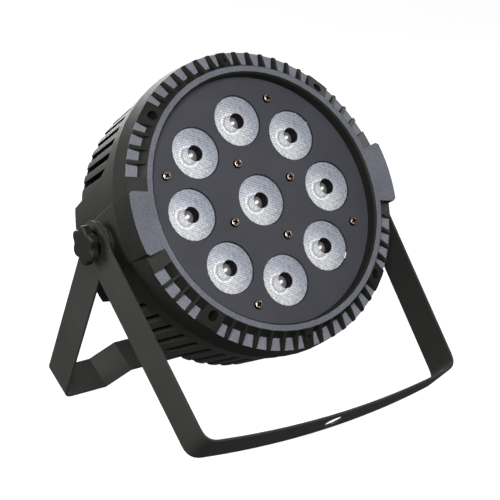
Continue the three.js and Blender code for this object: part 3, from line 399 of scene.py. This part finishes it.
def smoothing_group():
    """Geometry nodes that join split points and shade every edge flatter than CAD_SMOOTH_ANGLE smooth."""
    group = bpy.data.node_groups.new("smooth_by_angle", "GeometryNodeTree")
    group.interface.new_socket("Geometry", in_out="INPUT", socket_type="NodeSocketGeometry")
    group.interface.new_socket("Geometry", in_out="OUTPUT", socket_type="NodeSocketGeometry")
    source = group.nodes.new("NodeGroupInput")
    target = group.nodes.new("NodeGroupOutput")
    welded = group.nodes.new("GeometryNodeMergeByDistance")
    welded.inputs["Distance"].default_value = WELD_DISTANCE
    angle = group.nodes.new("GeometryNodeInputMeshEdgeAngle")
    flat = group.nodes.new("FunctionNodeCompare")
    flat.operation = "LESS_THAN"
    flat.inputs[1].default_value = CAD_SMOOTH_ANGLE
    faces = group.nodes.new("GeometryNodeSetShadeSmooth")
    edges = group.nodes.new("GeometryNodeSetShadeSmooth")
    edges.domain = "EDGE"
    group.links.new(angle.outputs["Unsigned Angle"], flat.inputs[0])
    group.links.new(source.outputs[0], welded.inputs["Geometry"])
    group.links.new(welded.outputs[0], faces.inputs["Geometry"])
    group.links.new(faces.outputs[0], edges.inputs["Geometry"])
    group.links.new(flat.outputs[0], edges.inputs["Shade Smooth"])
    group.links.new(edges.outputs[0], target.inputs[0])
    return group


def dress_cad_nodes():
    """Gives every CAD node its material and smooth shading. Bezel screws and washers are blackened."""
    smoothing = smoothing_group()
    slots = {part["node"]: part["material_slot"] for part in frame["record"]["subparts"]}
    for name, node in frame["nodes"].items():
        dark_fixing = name.startswith(("bezel_screw", "washer"))
        node.data.materials.clear()
        node.data.materials.append(BLACKENED_STEEL if dark_fixing else MATERIALS[slots[name]])
        modifier = node.modifiers.new("smooth", "NODES")
        modifier.node_group = smoothing


# ---------------------------------------------------------------- pieces made here

def mesh_piece(name, vertices, faces, matrix, materials, face_materials=None):
    """A smooth-shaded piece, its points in coordinates of its own that the matrix puts in place."""
    mesh = bpy.data.meshes.new(name)
    mesh.from_pydata(vertices, [], faces)
    for material in materials:
        mesh.materials.append(material)
    for index, polygon in enumerate(mesh.polygons):
        polygon.use_smooth = True
        if face_materials:
            polygon.material_index = face_materials[index]
    mesh.validate()
    piece = bpy.data.objects.new(name, mesh)
    piece.matrix_world = matrix
    bpy.context.scene.collection.objects.link(piece)
    mesh.set_sharp_from_angle(angle=SMOOTH_ANGLE)
    return piece


def lathe(profile, segments):
    """Vertices and faces of a (radius, z) outline turned about Z. Ends on the axis close by themselves."""
    vertices, rings = [], []
    for radius, z in profile:
        if radius == 0:
            rings.append([len(vertices)] * segments)
            vertices.append((0.0, 0.0, z))
            continue
        rings.append(list(range(len(vertices), len(vertices) + segments)))
        for i in range(segments):
            angle = 2 * math.pi * i / segments
            vertices.append((radius * math.cos(angle), radius * math.sin(angle), z))
    faces = []
    for lower, upper in zip(rings, rings[1:]):
        for i in range(segments):
            j = (i + 1) % segments
            corners = [lower[i], lower[j], upper[j], upper[i]]
            faces.append([c for k, c in enumerate(corners) if c not in corners[:k]])
    return vertices, faces


def turned_piece(name, outline, segments, matrix, materials):
    """A lathed piece. Its outline holds the points and which material each stretch between them has."""
    profile, stretches = outline
    vertices, faces = lathe(profile, segments)
    face_materials = [stretch for stretch in stretches for _ in range(segments)]
    return mesh_piece(name, vertices, faces, matrix, materials, face_materials)


LENS_SEGMENTS = 72
LENS_TIP_RADIUS = 6.6 * MM
LENS_RIM_DEPTH = 2.0 * MM
RECESS_DEPTH = 7.0 * MM
DOME_RISE = 2.2 * MM
DOME_STEPS = 6
LENS_FACE, LENS_WALL, LENS_DOME = 0, 1, 2


def lens_outline(radius, bottom):
    """Side view of a lens with its face at height 0: body, wall of the front recess and dome in it."""
    recess = 0.30 * radius
    body = [
        (0.0, bottom), (LENS_TIP_RADIUS, bottom), (0.66 * radius, 0.62 * bottom), (radius, -LENS_RIM_DEPTH),
        (radius, -0.5 * MM), (radius - 0.15 * MM, -0.15 * MM), (radius - 0.5 * MM, 0.0),
        (recess + 0.3 * MM, 0.0),
    ]
    wall = [(recess, -0.3 * MM), (recess - 0.2 * MM, -RECESS_DEPTH)]
    dome = []
    for step in reversed(range(DOME_STEPS)):
        share = step / DOME_STEPS
        dome.append((recess * share, -RECESS_DEPTH + DOME_RISE * math.cos(0.5 * math.pi * share)))
    stretches = [LENS_FACE] * (len(body) - 1) + [LENS_WALL] * len(wall) + [LENS_DOME] * len(dome)
    return body + wall + dome, stretches


def make_lenses():
    """Finer lenses in place of the CAD ones."""
    for number in range(1, LENS_COUNT + 1):
        node = f"lens_{number}"
        low, high = head_box(node)
        centre = (low + high) / 2
        outline = lens_outline((high.x - low.x) / 2, low.z - high.z)
        matrix = HEAD @ Matrix.Translation((centre.x, centre.y, high.z))
        piece = turned_piece(f"clear_lens_{number}", outline, LENS_SEGMENTS, matrix, LENS_MATERIALS)
        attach(piece, "head")
        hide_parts(node)


SCREW_SEGMENTS = 40
SCREW_HEAD_HEIGHT = 2.1 * MM
SCREW_SHAFT_RADIUS = 1.25 * MM
# Material indexes on a screw: bronze, and painted shade for its dark sides and recess.
SCREW_BRIGHT, SCREW_PAINTED_SHADE = 0, 1
# Side of a pan head going up, as shares of its radius and of its height.
PAN_HEAD = ((1.0, 0.0), (1.0, 0.4), (0.95, 0.72), (0.89, 0.9), (0.8, 0.97), (0.0, 1.0))
# The lower three stretches of the side are painted dark as a painted reflection; the top is bronze.
PAN_HEAD_MATERIALS = [SCREW_PAINTED_SHADE] * 3 + [SCREW_BRIGHT] * 2
# Screws come to rest at different angles: the first one's, and the step to the next, in degrees.
SCREW_FIRST_ANGLE, SCREW_ANGLE_STEP = 55, 38


def screw_outline(radius, bottom, seat, top):
    """Side view of a pan head screw with a bronze top and shaft, and sides painted dark as a painted reflection.
    """
    shaft = [(0.0, bottom), (SCREW_SHAFT_RADIUS, bottom), (SCREW_SHAFT_RADIUS, seat)]
    head = [(radius * out, seat + (top - seat) * up) for out, up in PAN_HEAD]
    return shaft + head, [SCREW_BRIGHT] * len(shaft) + PAN_HEAD_MATERIALS


# Driver recess: half length and half width of an arm as shares of the screw's radius, how far its floor is
# above the head's seat, how far the cutter sticks out, and how much of the full section it has at each end.
CROSS_REACH, CROSS_WIDTH = 0.68, 0.22
CROSS_FLOOR = 0.1 * MM
CUTTER_EXCESS = 0.3 * MM
CROSS_FLOOR_SPREAD, CROSS_TOP_SPREAD = 0.85, 1.05
CORNERS = ((-1, -1), (1, -1), (1, 1), (-1, 1))
BOX_FACES = ((3, 2, 1, 0), (4, 5, 6, 7), (0, 1, 5, 4), (1, 2, 6, 5), (2, 3, 7, 6), (3, 0, 4, 7))


def cross_cutter(matrix, half_length, half_width, floor, top):
    """A tapered cross that cuts a driver recess: two crossing boxes, the second a quarter turn on. The cut faces
    take its painted shade material.
    """
    vertices, faces = [], []
    for turned in (False, True):
        start = len(vertices)
        for z, spread in ((floor, CROSS_FLOOR_SPREAD), (top, CROSS_TOP_SPREAD)):
            for side_x, side_y in CORNERS:
                x, y = side_x * half_length * spread, side_y * half_width * spread
                vertices.append((-y, x, z) if turned else (x, y, z))
        for quad in BOX_FACES:
            faces.append([start + corner for corner in quad])
    return mesh_piece("cutter", vertices, faces, matrix, [PAINTED_SHADE_RECESS])


def carve(piece, cutter):
    """Cuts one mesh out of another for good and removes the cutter."""
    modifier = piece.modifiers.new("cut", "BOOLEAN")
    modifier.operation = "DIFFERENCE"
    modifier.solver = "EXACT"
    modifier.use_self = True
    modifier.material_mode = "TRANSFER"
    modifier.object = cutter
    evaluated = piece.evaluated_get(bpy.context.evaluated_depsgraph_get())
    carved = bpy.data.meshes.new_from_object(evaluated)
    piece.modifiers.clear()
    piece.data = carved
    bpy.data.objects.remove(cutter)
    carved.set_sharp_from_angle(angle=SMOOTH_ANGLE)


def make_screws():
    """Finer plate screws in place of the CAD ones."""
    for number in range(1, PLATE_SCREW_COUNT + 1):
        node = f"plate_screw_{number}"
        low, high = head_box(node)
        centre = (low + high) / 2
        radius = (high.x - low.x) / 2
        seat = high.z - SCREW_HEAD_HEIGHT
        outline = screw_outline(radius, low.z, seat, high.z)
        angle = math.radians(SCREW_FIRST_ANGLE + SCREW_ANGLE_STEP * (number - 1))
        matrix = HEAD @ Matrix.Translation((centre.x, centre.y, 0)) @ Matrix.Rotation(angle, 4, "Z")
        # Bronze, and painted shade for the dark sides.
        materials = [MATERIALS["bronze_screw"], PAINTED_SHADE_RECESS]
        piece = turned_piece(f"pan_screw_{number}", outline, SCREW_SEGMENTS, matrix, materials)
        cutter = cross_cutter(matrix, CROSS_REACH * radius, CROSS_WIDTH * radius, seat + CROSS_FLOOR,
                              high.z + CUTTER_EXCESS)
        carve(piece, cutter)
        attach(piece, "head")
        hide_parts(node)


KNOB_SEGMENTS = 144
KNOB_LOBES = 6
KNOB_RIM_DEPTH = 5.6 * MM
# Hub radius and lobe height as shares of the knob's radius.
KNOB_HUB, KNOB_LOBE = 0.56, 0.078
# How sharp the valleys between the lobes are, from 1 for a plain wave.
VALLEY_SHARPNESS = 1.2
# Rim from its inner side to the face: shares of its depth, of the knob's radius and of the lobe height.
KNOB_RIM = (
    (0.0, 0.83, 0.9), (0.06, 0.9, 1.0), (0.16, 0.92, 1.0), (0.84, 0.92, 1.0),
    (0.95, 0.90, 1.0), (1.0, 0.86, 1.0), (1.0, 0.6, 0.4), (0.98, 0.0, 0.0),
)


def knob_rings(face, hub_end, radius):
    """(x position, mean radius, lobe height) of each ring of points from the hub's end to the face."""
    inner = face - KNOB_RIM_DEPTH
    hub = [(hub_end, 0.0, 0.0), (hub_end, KNOB_HUB * radius, 0.0), (inner, KNOB_HUB * radius, 0.0)]
    rim = [(inner + KNOB_RIM_DEPTH * along, radius * out, KNOB_LOBE * radius * lobe)
           for along, out, lobe in KNOB_RIM]
    return hub + rim


def make_knob(side, sign):
    """A finer knob in place of the CAD one. The sign is that of its X position."""
    node = f"knob_{side}"
    low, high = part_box(node)
    hub_end, face = sorted((abs(low.x), abs(high.x)))
    vertices, rings = [], []
    for x, mean, lobe in knob_rings(face, hub_end, (high.z - low.z) / 2):
        rings.append(list(range(len(vertices), len(vertices) + KNOB_SEGMENTS)))
        for i in range(KNOB_SEGMENTS):
            angle = 2 * math.pi * i / KNOB_SEGMENTS
            valley = 1 + math.cos(KNOB_LOBES * angle)
            r = mean + lobe * (1 - valley ** VALLEY_SHARPNESS)
            vertices.append((sign * x, r * math.cos(angle), r * math.sin(angle)))
    faces = []
    for lower, upper in zip(rings, rings[1:]):
        for i in range(KNOB_SEGMENTS):
            j = (i + 1) % KNOB_SEGMENTS
            corners = [lower[i], lower[j], upper[j], upper[i]]
            faces.append(corners if sign < 0 else corners[::-1])
    matrix = Matrix.Translation(PIVOT)
    piece = mesh_piece(f"star_knob_{side}", vertices, faces, matrix, [MATERIALS["knob_plastic"]])
    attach(piece, f"{side}_knob")
    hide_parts(node)


# ---------------------------------------------------------------- studio

FLOOR_HALF_WIDTH = 6.0
FLOOR_GLOW = 0.9
WORLD_STRENGTH = 0.12
LAMP_MIDDLE = (0, 0, 0.12)


def make_floor():
    """Pale floor that lights itself, with only a faint shadow, and throws no light back up."""
    material, tree, bsdf = blank("floor")
    bsdf.inputs["Base Color"].default_value = (0.3, 0.3, 0.3, 1)
    bsdf.inputs["Roughness"].default_value = 0.9
    bsdf.inputs["Specular IOR Level"].default_value = 0.0
    bsdf.inputs["Emission Color"].default_value = (1, 1, 1, 1)
    bsdf.inputs["Emission Strength"].default_value = FLOOR_GLOW
    half = FLOOR_HALF_WIDTH
    corners = [(-half, -half, 0), (half, -half, 0), (half, half, 0), (-half, half, 0)]
    floor = mesh_piece("floor", corners, [(0, 1, 2, 3)], Matrix.Identity(4), [material])
    floor.visible_diffuse = False
    floor.visible_glossy = False


def make_light(name, location, target, width, height, radiance):
    """A soft rectangular light of an even brightness, unseen by the camera."""
    data = bpy.data.lights.new(name, "AREA")
    data.shape = "RECTANGLE"
    data.size, data.size_y = width, height
    data.energy = radiance * math.pi * width * height
    light = bpy.data.objects.new(name, data)
    light.location = location
    light.rotation_euler = (Vector(target) - Vector(location)).to_track_quat("-Z", "Y").to_euler()
    light.visible_camera = False
    bpy.context.scene.collection.objects.link(light)


def make_studio():
    """White surroundings, a key light near the camera and weaker ones round the lamp."""
    world = bpy.data.worlds.new("studio")
    world.use_nodes = True
    world.node_tree.nodes["Background"].inputs["Color"].default_value = (1, 1, 1, 1)
    world.node_tree.nodes["Background"].inputs["Strength"].default_value = WORLD_STRENGTH
    bpy.context.scene.world = world
    bpy.context.scene.view_settings.view_transform = "Standard"
    make_light("backdrop", (0.2, 2.4, 0.8), target=(0, 0, 0.5), width=3.0, height=1.4, radiance=0.75)
    make_light("key", (-0.45, -0.8, 0.65), LAMP_MIDDLE, width=0.5, height=0.5, radiance=15.0)
    make_light("side", (-0.8, 0.3, 0.4), LAMP_MIDDLE, width=0.5, height=0.5, radiance=9.0)
    make_light("front", (0.9, -1.9, 1.3), LAMP_MIDDLE, width=0.9, height=0.9, radiance=1.0)
    make_light("back", (0.5, 1.1, 0.5), LAMP_MIDDLE, width=0.8, height=0.8, radiance=4.0)
    make_light("right", (1.3, 0.1, 0.5), LAMP_MIDDLE, width=0.7, height=0.7, radiance=4.0)
    make_floor()


# The direction of the camera, seen from the lamp: turned from -Y round to -X, and above the floor.
CAMERA_AZIMUTH = math.radians(-35.75)
CAMERA_ELEVATION = math.radians(16.07)
CAMERA_ROLL = math.radians(-1.848)
CAMERA_LENS = 118.1
SENSOR_WIDTH = 36
# The camera's place is measured, along its own axes and in metres, from a point on the optical axis that lies
# this far behind the bezel's front.
AIM_DEPTH = 1.6 * MM
CAMERA_DISTANCE = 1.0833
CAMERA_SHIFT_LEFT = 0.0118
CAMERA_SHIFT_DOWN = 0.0352


def make_camera():
    """The viewing angle: about 16 degrees above the floor, well round to the side of knob_left."""
    level = Vector((math.cos(CAMERA_AZIMUTH), math.sin(CAMERA_AZIMUTH), 0))
    front = Vector((math.sin(CAMERA_AZIMUTH), -math.cos(CAMERA_AZIMUTH), 0))
    back = front * math.cos(CAMERA_ELEVATION) + Vector((0, 0, math.sin(CAMERA_ELEVATION)))
    right = level * math.cos(CAMERA_ROLL) + back.cross(level) * math.sin(CAMERA_ROLL)
    up = back.cross(right)
    aim = HEAD @ Vector((0, 0, head_box("front_bezel")[1].z - AIM_DEPTH))
    position = aim - right * CAMERA_SHIFT_LEFT - up * CAMERA_SHIFT_DOWN + back * CAMERA_DISTANCE
    data = bpy.data.cameras.new("camera")
    data.lens = CAMERA_LENS
    data.sensor_width = SENSOR_WIDTH
    camera = bpy.data.objects.new("camera", data)
    turn = Matrix((right, up, back)).transposed().to_4x4()
    camera.matrix_world = Matrix.Translation(position) @ turn
    bpy.context.scene.collection.objects.link(camera)
    bpy.context.scene.camera = camera


dress_cad_nodes()
make_lenses()
make_screws()
make_knob("left", -1)
make_knob("right", 1)
make_studio()
make_camera()
